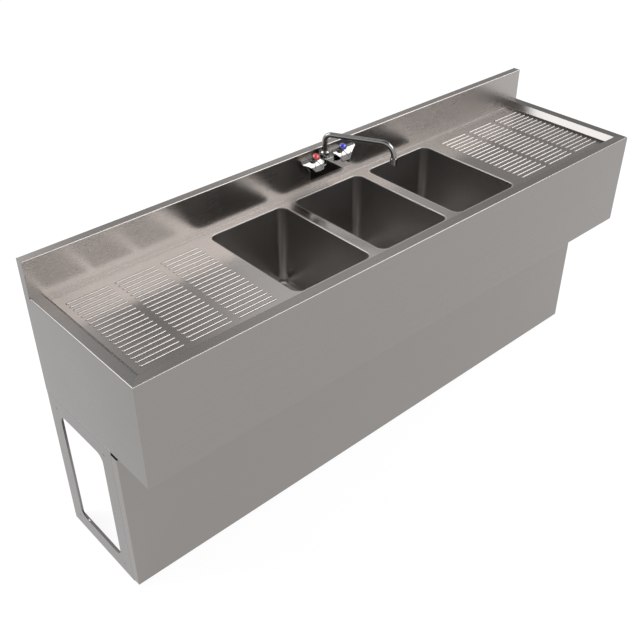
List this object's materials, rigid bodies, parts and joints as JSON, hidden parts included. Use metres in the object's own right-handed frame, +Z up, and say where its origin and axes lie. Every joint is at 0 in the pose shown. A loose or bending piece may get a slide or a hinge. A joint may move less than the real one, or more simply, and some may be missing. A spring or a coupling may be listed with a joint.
{
  "type": "underbar sink",
  "caption": "Stainless underbar sink with deep bowls between ribbed drainboards, a splash-mounted swing-spout faucet, a set-back skirt and open end panels.",
  "frame": {"origin": "on the floor, in the middle of the length and of the depth", "axes": "+X to the user's right along the length, +Y to the back, +Z up"},
  "size_m": [1.8288, 0.4636, 0.9145],
  "materials": {
    "deck_sheet": "brushed along its length",
    "apron_sheet": "brushed along its length",
    "bowl_sheet": "satin polished",
    "frame_sheet": "brushed",
    "fastener_steel": "plain stainless",
    "chrome": "mirror polished",
    "drain_chrome": "polished",
    "tail_brass": "rough plated",
    "valve_brass": "turned",
    "rubber": "matt",
    "fibre": "matt",
    "aerator_plastic": "matt",
    "red_plastic": "glossy",
    "blue_plastic": "glossy"
  },
  "bodies": {
    "sink": {"backsplash": "deck_sheet", "bowl_deck": "deck_sheet", "drainboard_left": "deck_sheet", "drainboard_right": "deck_sheet", "front_apron": "apron_sheet", "end_apron_left": "apron_sheet", "end_apron_right": "apron_sheet", "bowl_left": "bowl_sheet", "bowl_middle": "bowl_sheet", "bowl_right": "bowl_sheet", "rear_rail": "frame_sheet", "deck_channel_1": "frame_sheet", "deck_channel_2": "frame_sheet", "deck_channel_3": "frame_sheet", "deck_channel_4": "frame_sheet", "apron_corner_braces": "frame_sheet", "end_panel_left": "frame_sheet", "end_panel_right": "frame_sheet", "front_skirt": "frame_sheet", "corner_plates_left": "frame_sheet", "corner_plates_right": "frame_sheet", "panel_rivets_left": "fastener_steel", "panel_rivets_right": "fastener_steel", "frame_bolts": "fastener_steel", "frame_nuts": "fastener_steel", "shank_washers": "fastener_steel", "faucet_body": "chrome", "spout_nut": "chrome", "strainer_body_left": "drain_chrome", "strainer_body_middle": "drain_chrome", "strainer_body_right": "drain_chrome", "tailpiece_left": "tail_brass", "tailpiece_middle": "tail_brass", "tailpiece_right": "tail_brass", "drain_locknuts": "tail_brass", "coupling_nuts": "tail_brass", "inlet_shanks": "valve_brass", "shank_locknuts": "valve_brass", "valve_bonnet_hot": "valve_brass", "valve_bonnet_cold": "valve_brass", "drain_gaskets": "rubber", "drain_friction_washers": "fibre"},
    "spout": {"spout_tube": "chrome", "spout_seal": "rubber", "aerator_housing": "chrome", "aerator_insert": "aerator_plastic"},
    "hot_handle": {"handle_hot": "chrome", "handle_screw_hot": "fastener_steel", "index_button_hot": "red_plastic", "valve_stem_hot": "valve_brass"},
    "cold_handle": {"handle_cold": "chrome", "handle_screw_cold": "fastener_steel", "index_button_cold": "blue_plastic", "valve_stem_cold": "valve_brass"},
    "left_strainer": {"crumb_strainer_left": "drain_chrome"},
    "middle_strainer": {"crumb_strainer_middle": "drain_chrome"},
    "right_strainer": {"crumb_strainer_right": "drain_chrome"}
  },
  "joints": [
    {"name": "spout_swing", "type": "hinge", "parent": "sink", "child": "spout", "pos_m": [0, 0.18577, 0.85], "axis": [0, 0, 1], "range_deg": [-105, 48]},
    {"name": "hot_turn", "type": "hinge", "parent": "sink", "child": "hot_handle", "pos_m": [-0.0508, 0.18898, 0.821], "axis": [0, -0.5, 0.866], "range_deg": [0, 90]},
    {"name": "cold_turn", "type": "hinge", "parent": "sink", "child": "cold_handle", "pos_m": [0.0508, 0.18898, 0.821], "axis": [0, -0.5, 0.866], "range_deg": [-90, 0]},
    {"name": "left_strainer_lift", "type": "slide", "parent": "sink", "child": "left_strainer", "axis": [0, 0, 1], "range_m": [0, 0.3]},
    {"name": "middle_strainer_lift", "type": "slide", "parent": "sink", "child": "middle_strainer", "axis": [0, 0, 1], "range_m": [0, 0.3]},
    {"name": "right_strainer_lift", "type": "slide", "parent": "sink", "child": "right_strainer", "axis": [0, 0, 1], "range_m": [0, 0.3]}
  ]
}
